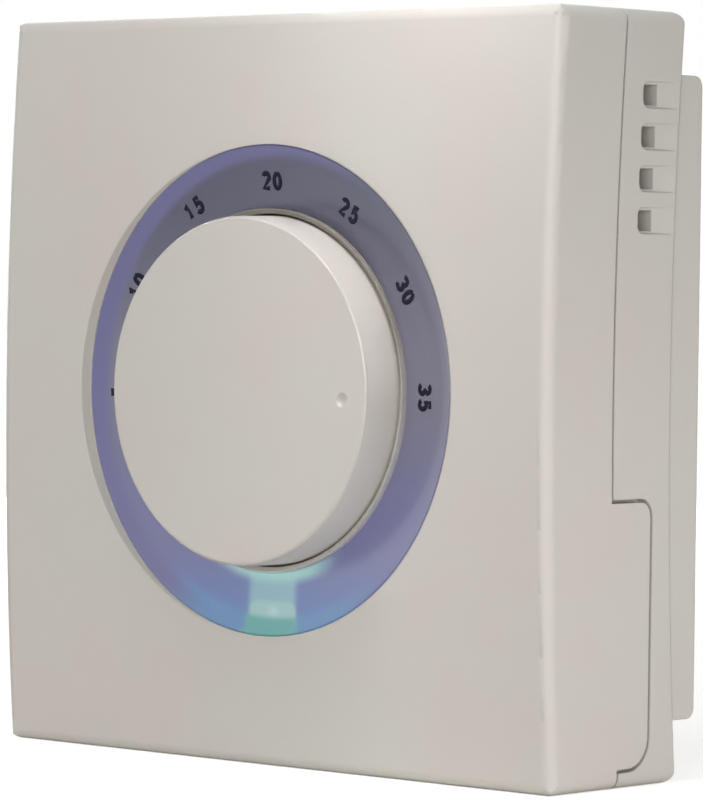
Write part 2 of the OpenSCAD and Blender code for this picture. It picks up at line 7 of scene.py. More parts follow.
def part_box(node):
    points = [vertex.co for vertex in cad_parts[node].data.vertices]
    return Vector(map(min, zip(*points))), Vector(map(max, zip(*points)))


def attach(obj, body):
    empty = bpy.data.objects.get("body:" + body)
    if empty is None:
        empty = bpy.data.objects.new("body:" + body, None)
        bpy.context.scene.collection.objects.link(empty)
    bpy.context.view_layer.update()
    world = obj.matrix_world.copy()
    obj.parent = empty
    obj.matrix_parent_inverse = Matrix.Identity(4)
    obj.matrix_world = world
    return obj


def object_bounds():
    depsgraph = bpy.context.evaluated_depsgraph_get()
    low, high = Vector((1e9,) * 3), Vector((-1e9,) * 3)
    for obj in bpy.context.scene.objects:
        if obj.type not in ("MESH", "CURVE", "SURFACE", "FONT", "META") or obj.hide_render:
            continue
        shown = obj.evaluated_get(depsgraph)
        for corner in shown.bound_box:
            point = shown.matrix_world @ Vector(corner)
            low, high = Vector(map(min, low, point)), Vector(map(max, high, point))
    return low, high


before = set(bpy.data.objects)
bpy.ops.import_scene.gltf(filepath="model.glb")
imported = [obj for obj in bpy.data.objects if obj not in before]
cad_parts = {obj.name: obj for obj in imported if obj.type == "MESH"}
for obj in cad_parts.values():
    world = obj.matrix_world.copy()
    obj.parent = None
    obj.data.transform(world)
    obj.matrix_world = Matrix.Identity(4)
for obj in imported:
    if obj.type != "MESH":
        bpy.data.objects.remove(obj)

cad_box = [list(corner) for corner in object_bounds()]

# ---- Camera ----
# A long lens a little over half a metre away, to the right of the thermostat and level
# with its dial, turned by less than a degree as a hand-held camera is.
MM = 0.001
azimuth, elevation, roll = (math.radians(angle) for angle in (42.05, 1.73, 0.69))
aim = Vector((12.57, -25.1, -0.73)) * MM
distance = 521.5 * MM
back = Vector((math.sin(azimuth) * math.cos(elevation),
               -math.cos(azimuth) * math.cos(elevation),
               math.sin(elevation)))
level = Vector((math.cos(azimuth), math.sin(azimuth), 0))
upright = back.cross(level)
right = level * math.cos(roll) + upright * math.sin(roll)
up = upright * math.cos(roll) - level * math.sin(roll)

bpy.ops.object.camera_add()
camera = bpy.context.object
camera.name = "camera"
camera.data.lens = 208.9
camera.data.sensor_width = 36
camera.matrix_world = Matrix.Translation(aim + back * distance) @ Matrix(
    (right, up, back)).transposed().to_4x4()
bpy.context.scene.camera = camera
bpy.context.scene.view_settings.view_transform = "Standard"


# ---- Studio ----
# A pale table under the thermostat and a white surround. Soft lamps hang above it and stand
# in front, with small ones low at both sides and one behind, so that no side is in the dark.
# One narrow beam falls along the front onto the skirt of the knob.
def linear(hex_colour):
    """An sRGB hex colour as linear red, green, blue and alpha."""
    parts = [int(hex_colour[i:i + 2], 16) / 255 for i in (1, 3, 5)]
    return [c / 12.92 if c <= 0.04045 else ((c + 0.055) / 1.055) ** 2.4 for c in parts] + [1]


def add(tree, kind, links=None, values=None, **settings):
    """Adds a node: links maps an input to the output socket that feeds it, values sets inputs."""
    made = tree.nodes.new("ShaderNode" + kind)
    for name, value in settings.items():
        setattr(made, name, value)
    for name, value in (values or {}).items():
        made.inputs[name].default_value = value
    for name, source in (links or {}).items():
        tree.links.new(source, made.inputs[name])
    return made


world = bpy.data.worlds.new("surround")
bpy.context.scene.world = world
world.use_nodes = True
tree = world.node_tree
tree.nodes.clear()
rays = add(tree, "LightPath")
seen = add(tree, "Math", {0: rays.outputs["Is Camera Ray"], 1: rays.outputs["Is Glossy Ray"]},
           operation="MAXIMUM")
seen = add(tree, "Math", {0: seen.outputs[0], 1: rays.outputs["Is Transmission Ray"]},
           operation="MAXIMUM")
ambient = add(tree, "Background", values={"Color": (1, 1, 1, 1), "Strength": 0.07})
white = add(tree, "Background", values={"Color": (1, 1, 1, 1), "Strength": 1.0})
mixed = add(tree, "MixShader", {0: seen.outputs[0], 1: ambient.outputs[0], 2: white.outputs[0]})
add(tree, "OutputWorld", {"Surface": mixed.outputs[0]})

bpy.ops.object.select_all(action="DESELECT")
bpy.ops.mesh.primitive_circle_add(vertices=96, radius=2.5, fill_type="NGON",
                                  location=(0, 0, cad_box[0][2]))
table = bpy.context.object
table.name = "table"
bpy.ops.object.transform_apply()
paint = bpy.data.materials.new("matt_white_board")
paint.use_nodes = True
tree = paint.node_tree
tree.nodes.clear()
rays = add(tree, "LightPath")
matt = add(tree, "BsdfDiffuse", values={"Color": linear("#F0EFEC")})

# The table looks a little brighter than it is lit, and runs out into the surround's white.
fade_start, fade_end = 0.25, 0.7
reach = add(tree, "VectorMath", {0: add(tree, "TexCoord").outputs["Object"]}, operation="LENGTH")
fade = add(tree, "MapRange", {"Value": reach.outputs["Value"]},
           {"From Min": fade_start, "From Max": fade_end, "To Min": 0.6, "To Max": 1.0})
shown = add(tree, "Math", {0: rays.outputs["Is Camera Ray"], 1: fade.outputs[0]},
            operation="MULTIPLY")
glow = add(tree, "Emission", {"Strength": shown.outputs[0]}, {"Color": (1, 1, 1, 1)})
both = add(tree, "AddShader", {0: matt.outputs[0], 1: glow.outputs[0]})
add(tree, "OutputMaterial", {"Surface": both.outputs[0]})
table.data.materials.append(paint)


def lamp(name, place, target, size, power, beam=180):
    """A square area lamp at a place in metres, turned to face the target, its beam as wide as
    an angle in degrees. A small one is too hard to be mirrored in a gloss, so it only lights."""
    smallest_mirrored = 0.15
    bpy.ops.object.light_add(type="AREA", location=place)
    made = bpy.context.object
    made.name = name
    made.rotation_mode = "QUATERNION"
    made.rotation_quaternion = (Vector(target) - Vector(place)).to_track_quat("-Z", "Y")
    made.data.size = size
    made.data.energy = power
    made.data.spread = math.radians(beam)
    made.visible_camera = False
    made.visible_glossy = size > smallest_mirrored


middle = (0.0, -0.02, 0.0)
lamp("top_lamp", (0.0, -0.20, 0.27), middle, 0.2, 0.22)
lamp("near_top_lamp", (0.05, -0.09, 0.17), middle, 0.1, 0.09)
lamp("knob_lamp", (0.03, -0.07, 0.20), (0.016, -0.0365, 0.0), 0.03, 0.0022, beam=18)
lamp("corner_lamp", (0.03, -0.045, 0.065), (0.03, -0.025, 0.03), 0.03, 0.0038)
lamp("front_lamp", (0.45, -0.6, 0.12), middle, 0.4, 1.54)
lamp("low_right_lamp", (0.16, -0.02, -0.035), middle, 0.06, 0.082)
lamp("low_left_lamp", (-0.15, -0.12, -0.02), middle, 0.04, 0.028)
lamp("low_front_lamp", (0.07, -0.10, -0.03), (0.015, -0.03, -0.02), 0.04, 0.005)
lamp("rear_left_lamp", (-0.45, 0.25, 0.15), middle, 0.4, 1.6)


# ---- Rear base ----
# The tray that is screwed to the wall box, one moulding in cream ABS with a matt
# spark-eroded skin. Its lip, floor ribs and screw bosses are moulded in.
def finish_with(node_name, material):
    """Gives a CAD node its material."""
    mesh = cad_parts[node_name].data
    mesh.materials.clear()
    mesh.materials.append(material)


def moulded(name, colour, shade, roughness, grain=0.32, depth=0.012, edge_r=0.25):
    """A moulded plastic. colour drifts to shade in soft clouds a centimetre or two across, as
    resin flows unevenly. The mould's texture is too fine to show, so it is drawn coarser than
    it is: grain is its spacing and depth its height. edge_r rounds the edges. All in mm."""
    made = bpy.data.materials.new(name)
    made.use_nodes = True
    tree = made.node_tree
    shader = tree.nodes["Principled BSDF"]
    shader.inputs["IOR"].default_value = 1.53
    place = add(tree, "TexCoord").outputs["Object"]
    pits = add(tree, "TexNoise", {"Vector": place},
               {"Scale": 1 / (grain * MM), "Detail": 2.5, "Roughness": 0.6})
    cloud = add(tree, "TexNoise", {"Vector": place}, {"Scale": 1 / (17 * MM), "Detail": 2.0})
    drift = add(tree, "MapRange", {"Value": cloud.outputs["Fac"]},
                {"From Min": 0.35, "From Max": 0.65})
    tint = add(tree, "Mix", {"Factor": drift.outputs[0]},
               {"A": linear(colour), "B": linear(shade)}, data_type="RGBA")
    dull = add(tree, "MapRange", {"Value": pits.outputs["Fac"]},
               {"From Min": 0.3, "From Max": 0.7, "To Min": roughness - 0.06,
                "To Max": roughness + 0.08})
    rounded = add(tree, "Bevel", values={"Radius": edge_r * MM}, samples=4)
    relief = add(tree, "Bump", {"Height": pits.outputs["Fac"], "Normal": rounded.outputs[0]},
                 {"Strength": 0.35, "Distance": depth * MM})
    tree.links.new(tint.outputs["Result"], shader.inputs["Base Color"])
    tree.links.new(dull.outputs[0], shader.inputs["Roughness"])
    tree.links.new(relief.outputs[0], shader.inputs["Normal"])
    return made


# Eroded ABS: matt, with a faint drift between a neutral and a pinker cream.
finish_with("rear_base", moulded("cream_abs_base", "#D8D5CE", "#DAD2CC", 0.46))

# ---- Terminal block ----
# A white nylon block screwed to two bosses of the base. Each pole holds a plated brass
# cage clamp with a steel screw, and a pair of bronze leaves that grip a pin of the board.
# The nylon is waxy, with broad shallow waves in its polished skin.
finish_with("terminal_block",
            moulded("white_nylon_moulded", "#E4E4DE", "#DEDDD4", 0.38, grain=0.9, depth=0.01))


def metal(name, colour, shade, roughness, grain=0.15, depth=0.004):
    """A bare or plated metal. Its highlight is broken up by tool marks, drawn coarser than they
    are so that they show: grain is their spacing and depth their height, in mm. Its colour
    drifts to shade where it has been handled or heated."""
    made = bpy.data.materials.new(name)
    made.use_nodes = True
    tree = made.node_tree
    shader = tree.nodes["Principled BSDF"]
    shader.inputs["Metallic"].default_value = 1.0
    place = add(tree, "TexCoord").outputs["Object"]
    marks = add(tree, "TexNoise", {"Vector": place},
                {"Scale": 1 / (grain * MM), "Detail": 3.0, "Roughness": 0.7})
    stain = add(tree, "TexNoise", {"Vector": place}, {"Scale": 1 / (1.5 * MM), "Detail": 3.0})
    tint = add(tree, "Mix", {"Factor": stain.outputs["Fac"]},
               {"A": linear(colour), "B": linear(shade)}, data_type="RGBA")
    dull = add(tree, "MapRange", {"Value": marks.outputs["Fac"]},
               {"From Min": 0.3, "From Max": 0.7, "To Min": roughness - 0.08,
                "To Max": roughness + 0.12})
    relief = add(tree, "Bump", {"Height": marks.outputs["Fac"]},
                 {"Strength": 0.4, "Distance": depth * MM})
    tree.links.new(tint.outputs["Result"], shader.inputs["Base Color"])
    tree.links.new(dull.outputs[0], shader.inputs["Roughness"])
    tree.links.new(relief.outputs[0], shader.inputs["Normal"])
    return made


# Zinc-plated steel: pale grey with a faint blue cast. Nickelled brass: warmer and smoother.
# Phosphor bronze: a coppery spring strip, rolled to a soft shine.
zinc_steel = metal("zinc_plated_steel", "#C9CCCF", "#B7BCC2", 0.32)
finish_with("block_screws", zinc_steel)
finish_with("terminal_screws", zinc_steel)
finish_with("wire_clamps", metal("nickelled_brass", "#D3CDB8", "#C2B68F", 0.28))
finish_with("contact_sockets", metal("phosphor_bronze_strip", "#C99A6B", "#B98A5A", 0.3))

# ---- Front cover ----
# One moulding in cream ABS: the bowed front, its side tabs and the pocket for the knob.
# Its eroded skin is deeper than the base's: it scatters small glints where light grazes it.
cover_skin = moulded("cream_abs_eroded", "#D9D6CF", "#DBD3CD", 0.44, depth=0.03)
finish_with("front_cover", cover_skin)


def about_dial(tree):
    """A point's X, Y and Z, its way out from the dial's axis, and how far out it is."""
    axes = add(tree, "SeparateXYZ", {0: add(tree, "TexCoord").outputs["Object"]}).outputs
    out = add(tree, "CombineXYZ", {0: axes["X"], 2: axes["Z"]}).outputs[0]
    return axes, out, add(tree, "VectorMath", {0: out}, operation="LENGTH").outputs["Value"]


def bounded(tree, steps, most=1.0, curve="LINEAR"):
    """A mask with a soft edge for each step, (value, where it is none, where it is most) in mm."""
    mask = None
    for value, none, full in steps:
        share = add(tree, "MapRange", {"Value": value},
                    {"From Min": none * MM, "From Max": full * MM,
                     "To Max": 1.0 if mask else most}, interpolation_type=curve).outputs[0]
        if mask:
            share = add(tree, "Math", {0: mask, 1: share}, operation="MULTIPLY").outputs[0]
        mask = share
    return mask


def paint_over(material, mask, colour):
    """Lays a colour over a finish, as far as the mask lets it."""
    tree = material.node_tree
    coat = tree.nodes["Principled BSDF"].inputs["Base Color"]
    paint = add(tree, "Mix", {"Factor": mask, "A": coat.links[0].from_socket},
                {"B": linear(colour)}, data_type="RGBA")
    tree.links.new(paint.outputs["Result"], coat)


# The bow of the front runs out softly round the ring, with no edge to be seen there.
tree = cover_skin.node_tree
relief = tree.nodes["Bump"]
rounded = relief.inputs["Normal"].links[0].from_socket
axes, out, radius = about_dial(tree)
turn_with_part = {"vector_type": "NORMAL", "convert_from": "OBJECT", "convert_to": "WORLD"}
beside_ring = bounded(tree, ((radius, 29.3, 28.8), (axes["Y"], -25.9, -26.1)))
ahead = add(tree, "VectorTransform", values={"Vector": (0, -1, 0)}, **turn_with_part)
bow = add(tree, "Mix", {"Factor": beside_ring, "A": rounded, "B": ahead.outputs[0]},
          data_type="VECTOR")

# The rim of its collar is rolled in toward the knob, all but the last tenth of a millimetre.
on_rim = bounded(tree, ((radius, 20.68, 20.6), (axes["Y"], -25.6, -25.65)))
inward, forward = -0.57, -0.82
outward = add(tree, "VectorMath", {0: out}, operation="NORMALIZE")
leaning = add(tree, "VectorMath", {0: outward.outputs[0]},
              {1: (inward, inward, inward), 2: (0, forward, 0)}, operation="MULTIPLY_ADD")
leaning = add(tree, "VectorTransform", {"Vector": leaning.outputs[0]}, **turn_with_part)
rolled = add(tree, "Mix", {"Factor": on_rim, "A": bow.outputs["Result"], "B": leaning.outputs[0]},
             data_type="VECTOR")
tree.links.new(rolled.outputs["Result"], relief.inputs["Normal"])

# Painted shade: the collar and its lip are greyed over their upper part, less and less down to
# a little below the middle.
collar_shade = bounded(tree, ((radius, 20.95, 20.85), (axes["Z"], -6, 8)), most=0.9)
paint_over(cover_skin, collar_shade, "#8E8A80")

# ---- Dial ring ----
# A dished ring of clear polycarbonate with a frosted, half glossy face. Its back and edges are
# printed with a milky lilac film, which the lamps on the circuit board light from behind.
polycarbonate = bpy.data.materials.new("frosted_polycarbonate")
polycarbonate.use_nodes = True
clear = polycarbonate.node_tree.nodes["Principled BSDF"].inputs
clear["Base Color"].default_value = linear("#FFFFFF")
clear["Transmission Weight"].default_value = 1.0
clear["Roughness"].default_value = 0.28
clear["IOR"].default_value = 1.58
finish_with("dial_ring", polycarbonate)

ring_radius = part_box("dial_ring")[1].x
ring_bore = 20.8 * MM
ring_back = -23.05 * MM
ring_face = -25.2 * MM
ring_rim = -26.05 * MM

# The print is dull and even. Its glow is painted light, from the lamps on the board behind it.
film = bpy.data.materials.new("lit_printed_film")
film.use_nodes = True
tree = film.node_tree
shader = tree.nodes["Principled BSDF"]
shader.inputs["Base Color"].default_value = linear("#2A2A38")
shader.inputs["Roughness"].default_value = 0.6
shader.inputs["Specular IOR Level"].default_value = 0.0
shader.inputs["Emission Strength"].default_value = 1.0
axes, out, radius = about_dial(tree)
across, height = axes["X"], axes["Z"]
sideways = add(tree, "Math", {0: across}, operation="ABSOLUTE").outputs[0]


def patch(x, z, wide, high):
    """The distance in the film from a rounded patch about (x, z), half as wide and high, in mm."""
    spot = add(tree, "VectorMath", {0: out}, {1: (x * MM, 0, z * MM)}, operation="SUBTRACT")
    for step, value in (("ABSOLUTE", 0), ("SUBTRACT", 1), ("MAXIMUM", 0)):
        spot = add(tree, "VectorMath", {0: spot.outputs[0]},
                   {1: (wide * MM * value, 0, high * MM * value)}, operation=step)
    return add(tree, "VectorMath", {0: spot.outputs[0]}, operation="LENGTH").outputs["Value"]


# The patches of painted glow in order: how fully each covers, and the soft steps that bound it,
# in mm. Lilac grey, bluer towards the foot and the edge, painted shade beside the top of the
# collar, then the teal that the status lamp sends up the film, its window and its hot spot.
bare_film = "#515060"
glow_patches = (
    ("#706E7D", 1.0, ((height, 24, 2),)),
    ("#69698F", 1.0, ((height, 1, -17),)),
    ("#586FA0", 1.0, ((height, -18, -26),)),
    ("#64638A", 1.0, ((radius, 26.2, 27.6), (across, 24, 4))),
    ("#33323E", 0.6, ((radius, 21.7, 21.2), (height, 12, 20))),
    ("#567FA7", 0.9, ((radius, 25.5, 26.5), (sideways, 17, 9), (height, -12, -20))),
    ("#82A7B0", 0.9, ((sideways, 4.3, 2.9), (height, -17, -20))),
    ("#95C0BA", 0.95, ((radius, 22.7, 21.2), (sideways, 11, 5), (height, -15, -18))),
    ("#8EB1AF", 1.0, ((patch(0.15, -26.6, 2.5, 1.2), 1.3, 1.0), (height, -17, -20))),
    ("#549790", 1.0, ((radius, 25.8, 26.6), (sideways, 4.6, 3.4), (height, -17, -20))),
    ("#B4C9C9", 0.45, ((patch(0.2, -25.4, 0.3, 0.1), 0.7, 0.1),)),
)
tone = None
for colour, cover, steps in glow_patches:
    mask = bounded(tree, steps, most=cover, curve="SMOOTHSTEP")
    printed = add(tree, "Mix", {"Factor": mask}, {"A": linear(bare_film), "B": linear(colour)},
                  data_type="RGBA")
    if tone:
        tree.links.new(tone, printed.inputs["A"])
    tone = printed.outputs["Result"]
tree.links.new(tone, shader.inputs["Emission Color"])

# The film lies a hair off the ring: a flat ring at its back, then a wall up its outer edge
# and one up its bore, which stop just short of its face.
film_gap = 0.03 * MM
outer_wall = 2.85 * MM
bore_wall = 1.95 * MM
bpy.ops.object.select_all(action="DESELECT")
bpy.ops.mesh.primitive_circle_add(vertices=160, radius=ring_bore + film_gap,
                                  location=(0, ring_back - film_gap, 0),
                                  rotation=(math.pi / 2, 0, 0))
tray = bpy.context.object
tray.name = "printed_film"
bpy.ops.object.transform_apply()
bpy.ops.object.mode_set(mode="EDIT")
bpy.ops.mesh.select_all(action="SELECT")
bpy.ops.mesh.extrude_edges_move()
grow = (ring_radius - film_gap) / (ring_bore + film_gap)
bpy.ops.transform.resize(value=(grow, 1, grow), center_override=(0, 0, 0))
bpy.ops.mesh.extrude_edges_move(TRANSFORM_OT_translate={"value": (0, -outer_wall, 0)})
bpy.ops.mesh.select_all(action="DESELECT")
bpy.ops.object.mode_set(mode="OBJECT")
bore_edge = ring_bore + 2 * film_gap
for edge in tray.data.edges:
    ends = [tray.data.vertices[i].co for i in edge.vertices]
    edge.select = all(math.hypot(end.x, end.z) < bore_edge for end in ends)
bpy.ops.object.mode_set(mode="EDIT")
bpy.ops.mesh.extrude_edges_move(TRANSFORM_OT_translate={"value": (0, -bore_wall, 0)})
bpy.ops.mesh.select_all(action="SELECT")
bpy.ops.mesh.normals_make_consistent(inside=True)
bpy.ops.object.mode_set(mode="OBJECT")
tray.data.materials.append(film)
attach(tray, "front_unit")

# ---- Collar lip ----
# The mouth of the cover's collar round the knob, moulded with it in cream ABS: a short funnel
# inside the rim, which closes all but a hair of the gap round the skirt. Its outline is
# given as radius and depth, in mm.
mouth = [(20.5, 25.0), (20.5, 25.79), (20.44, 25.79), (20.16, 25.48), (20.16, 25.0)]
bpy.ops.object.select_all(action="DESELECT")
bpy.ops.mesh.primitive_circle_add(vertices=160, radius=mouth[0][0] * MM,
                                  location=(0, -mouth[0][1] * MM, 0),
                                  rotation=(math.pi / 2, 0, 0))
lip = bpy.context.object
lip.name = "collar_lip"
bpy.ops.object.transform_apply()
bpy.ops.object.mode_set(mode="EDIT")
bpy.ops.mesh.select_all(action="SELECT")
for (last_r, last_depth), (r, depth) in zip(mouth, mouth[1:] + mouth[:1]):
    bpy.ops.mesh.extrude_edges_move(
        TRANSFORM_OT_translate={"value": (0, (last_depth - depth) * MM, 0)})
    bpy.ops.transform.resize(value=(r / last_r, 1, r / last_r), center_override=(0, 0, 0))
bpy.ops.mesh.select_all(action="SELECT")
bpy.ops.mesh.remove_doubles(threshold=0.001 * MM)
bpy.ops.mesh.normals_make_consistent(inside=False)
bpy.ops.object.mode_set(mode="OBJECT")
bpy.ops.object.shade_smooth_by_angle(angle=math.radians(25))
lip.data.materials.append(cover_skin)
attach(lip, "front_unit")

# ---- Light window ----
# The end of a milky light guide that stands over the status lamp, behind the ring. Its
# resin holds a fine white filler, and its glow all through is painted light from that lamp.
guide = bpy.data.materials.new("milky_light_guide")
guide.use_nodes = True
milk = guide.node_tree.nodes["Principled BSDF"].inputs
milk["Base Color"].default_value = linear("#B7C9C6")
milk["Roughness"].default_value = 0.5
milk["Subsurface Weight"].default_value = 0.3
milk["Emission Color"].default_value = linear("#8FBDB8")
milk["Emission Strength"].default_value = 0.6
finish_with("light_window", guide)

# ---- Scale numbers ----
# Bold figures pad-printed on the face of the ring in dark indigo ink, tops outward, about
# thirty degrees apart from nine o'clock round to three. The ink stands a hair proud.
ink = bpy.data.materials.new("indigo_ink")
ink.use_nodes = True
tree = ink.node_tree
shader = tree.nodes["Principled BSDF"]
shader.inputs["Roughness"].default_value = 0.5
shader.inputs["Specular IOR Level"].default_value = 0.25
place = add(tree, "TexCoord").outputs["Object"]
thin_spots = add(tree, "TexNoise", {"Vector": place}, {"Scale": 1 / (0.25 * MM), "Detail": 2.0})
tint = add(tree, "Mix", {"Factor": thin_spots.outputs["Fac"]},
           {"A": linear("#141428"), "B": linear("#1D1D30")}, data_type="RGBA")
tree.links.new(tint.outputs["Result"], shader.inputs["Base Color"])

number_radius = 23.9 * MM
figure_pitch = 1.72
figure_width = 1.08
stroke = 0.6
ink_height = 0.03
dish = (ring_rim - ring_face) / (ring_radius - ring_bore)
number_depth = ring_face + dish * (number_radius - ring_bore)
face_slope = Matrix.Rotation(-math.atan(dish), 4, "X")


def bend(x, y, wide, high, start, end):
    """Points in mm along an arc of an ellipse, between two angles in degrees."""
    steps = 14
    turns = [math.radians(start + (end - start) * i / steps) for i in range(steps + 1)]
    return [(x + wide * math.cos(turn), y + high * math.sin(turn)) for turn in turns]


def drawn(name, lines, width, thickness, where):
    """A flat mesh of lines of one width through points, all in mm, raised by half a thickness.
    where places it, with the points' X and Y in its plane and Z out of it."""
    line = bpy.data.curves.new(name, "CURVE")
    line.dimensions = "3D"
    line.bevel_depth = width / 2 * MM
    line.bevel_resolution = 1
    line.use_fill_caps = True
    for points in lines:
        spline = line.splines.new("POLY")
        closed = points[0] == points[-1]
        spline.use_cyclic_u = closed
        points = points[:-1] if closed else points
        spline.points.add(len(points) - 1)
        for point, (x, y) in zip(spline.points, points):
            point.co = (x * MM, y * MM, 0, 1)
    piece = bpy.data.objects.new(name, line)
    bpy.context.collection.objects.link(piece)
    bpy.ops.object.select_all(action="DESELECT")
    piece.select_set(True)
    bpy.context.view_layer.objects.active = piece
    bpy.ops.object.convert(target="MESH")
    piece = bpy.context.object
    piece.matrix_world = where @ Matrix.Diagonal((1, 1, thickness / width, 1))
    bpy.ops.object.transform_apply()
    return piece


figures = {
    "0": bend(0, 0, 0.44, 0.855, 90, 450),
    "1": [(-0.32, 0.44), (-0.06, 0.60), (0.10, 0.855), (0.10, -0.855)],
    "2": bend(0, 0.41, 0.43, 0.445, 165, -28) + [(-0.36, -0.855), (0.47, -0.855)],
    "3": bend(-0.02, 0.44, 0.40, 0.415, 155, -75) + bend(-0.02, -0.41, 0.46, 0.445, 75, -155),
    "5": ([(0.40, 0.855), (-0.24, 0.855), (-0.34, 0.05)]
          + bend(-0.01, -0.29, 0.45, 0.565, 130, -152)),
}
upright_front = Matrix.Rotation(math.pi / 2, 4, "X")
for value, angle in ((5, 182), (10, 151), (15, 120), (20, 89.1), (25, 59.1), (30, 29.3),
                     (35, -0.2)):
    word = str(value)
    lines = [[(x * figure_width + (place - (len(word) - 1) / 2) * figure_pitch, y)
              for x, y in figures[figure]] for place, figure in enumerate(word)]
    spot = Vector((0, number_depth, number_radius))
    turn = Matrix.Rotation(math.pi / 2 - math.radians(angle), 4, "Y")
    number = drawn(f"number_{value}", lines, stroke, ink_height,
                   turn @ Matrix.Translation(spot) @ face_slope @ upright_front)
    number.data.materials.append(ink)
    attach(number, "front_unit")

# ---- Circuit board ----
# Glass-epoxy laminate under green solder mask, held on the cover's four posts. Tracks show
# as lighter ridges under the mask, and the parts have white outlines. The tinned pins plug
# into the terminal block.
board_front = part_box("circuit_board")[0].y
board_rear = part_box("circuit_board")[1].y


def solder_mask(name, colour, shade):
    """Green lacquer over glass cloth: glossy, with the weave's half-millimetre squares in it."""
    made = bpy.data.materials.new(name)
    made.use_nodes = True
    tree = made.node_tree
    shader = tree.nodes["Principled BSDF"]
    shader.inputs["Roughness"].default_value = 0.28
    shader.inputs["IOR"].default_value = 1.55
    place = add(tree, "TexCoord").outputs["Object"]
    axes = add(tree, "SeparateXYZ", {0: place})
    plane = add(tree, "CombineXYZ", {0: axes.outputs["X"], 1: axes.outputs["Z"]})
    weave = add(tree, "TexChecker", {"Vector": plane.outputs[0]}, {"Scale": 1 / (0.5 * MM)})
    cloth = add(tree, "TexNoise", {"Vector": place}, {"Scale": 1 / (9 * MM), "Detail": 3.0})
    tint = add(tree, "Mix", {"Factor": cloth.outputs["Fac"]},
               {"A": linear(colour), "B": linear(shade)}, data_type="RGBA")
    relief = add(tree, "Bump", {"Height": weave.outputs["Fac"]},
                 {"Strength": 0.12, "Distance": 0.01 * MM})
    tree.links.new(tint.outputs["Result"], shader.inputs["Base Color"])
    tree.links.new(relief.outputs[0], shader.inputs["Normal"])
    return made


finish_with("circuit_board", solder_mask("green_solder_mask", "#1E5B34", "#1A4F2E"))
# Tinned brass: a warm silver, with yellower patches where the tin is thin.
finish_with("contact_pins", metal("tinned_brass_pins", "#D9D4C3", "#C4B68A", 0.26))

rear_plane = Matrix.Translation((0, board_rear, 0)) @ Matrix.Rotation(math.pi / 2, 4, "X")
pole_x = (-15, -7.5, 0, 7.5, 15)
pin_row = -28.6
power_tracks = [
    [(-15, pin_row), (-15, -21), (-24, -12), (-24, 3), (-28.5, 7.5), (-28.5, 14.5)],
    [(-7.5, pin_row), (-7.5, -18), (-12, -13.5), (-12, 16), (-11, 19.5)],
    [(7.5, pin_row), (7.5, -17), (14, -10.5), (14, 5), (8, 11), (-1.5, 11), (-1.5, 12)],
    [(15, pin_row), (15, -22), (24, -13), (24, 12), (29, 17.5)],
    [(-27, 26.5), (-27, 31.5), (0.5, 31.5), (0.5, 27)],
    [(15.5, 27), (15.5, 30.5), (26, 30.5), (29, 27.5), (29, 22.5)],
]
signal_tracks = [
    [(-6.5, 12), (-9, 9.5), (-15.5, 9.5)],
    [(-15.5, 14.5), (-18, 17), (-24.5, 17), (-27, 19.5)],
    [(5.2, 15.5), (5.2, 20.5), (22.5, 20.5), (22.5, 7.5), (29, 7.5), (29, 4.5)],
    [(8.8, 15.5), (11, 17.7), (14, 17.7), (16.2, 15.5)],
    [(19.8, 15.5), (19.8, 3), (33, 3), (33, 4.5)],
    [(0, -9.6), (0, -3), (9, 6), (19, 6)],
    [(-5, -9.6), (-9.5, -5), (-9.5, 6), (-4, 6)],
    [(5, -9.6), (8, -6.6), (8, 0), (12, 4)],
    [(-16.6, -33), (-27, -33), (-31, -29), (-31, -3)],
    [(-15.4, -33), (-12, -33.6), (20, -33.6), (28, -25.6), (28, -4)],
    [(0, pin_row), (0, -21), (-5, -16), (-5, -12.8)],
]
copper = solder_mask("masked_copper_track", "#3B8148", "#2F7340")
track_height = 0.07
for name, routes, width in (("power_tracks", power_tracks, 1.7),
                            ("signal_tracks", signal_tracks, 0.6)):
    tracks = drawn(name, routes, width, track_height, rear_plane)
    tracks.data.materials.append(copper)
    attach(tracks, "front_unit")


def frame_line(x, z, wide, high):
    """The corners of a rectangle about a centre, in mm, back to the first."""
    w, h = wide / 2, high / 2
    return [(x - w, z - h), (x + w, z - h), (x + w, z + h), (x - w, z + h), (x - w, z - h)]


can_places = ((7, 15.5), (18, 15.5))
legend_lines = [
    frame_line(-19, 23, 22.4, 12.4), frame_line(8, 27, 19.2, 9.4), frame_line(29, 20, 5.2, 11),
    frame_line(31, 7.5, 8, 9), frame_line(0, pin_row, 37.5, 5), frame_line(-22, 14.5, 10.6, 4.2),
    frame_line(-22, 9.5, 10.6, 4.2), bend(-4, 12, 4.8, 4.8, 0, 360)[:-1] + [(0.8, 12)],
]
for x, z in can_places:
    circle = bend(x, z, 4.5, 4.5, 0, 360)
    legend_lines.append(circle[:-1] + circle[:1])
legend = drawn("legend", legend_lines, 0.2, 0.05, rear_plane)
white_ink = moulded("white_epoxy_ink", "#E6E6E0", "#D9DAD2", 0.5, grain=0.4, depth=0.002)
legend.data.materials.append(white_ink)
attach(legend, "front_unit")

# ---- Solder joints and pads ----
# Wave-soldered joints: a bright tin fillet climbs from each round pad to the end of the lead.
# The leads of parts on the rear are soldered on the front, and the other way about.
solder = metal("tin_solder", "#D4D6D8", "#BEC3C8", 0.2, grain=0.4, depth=0.006)


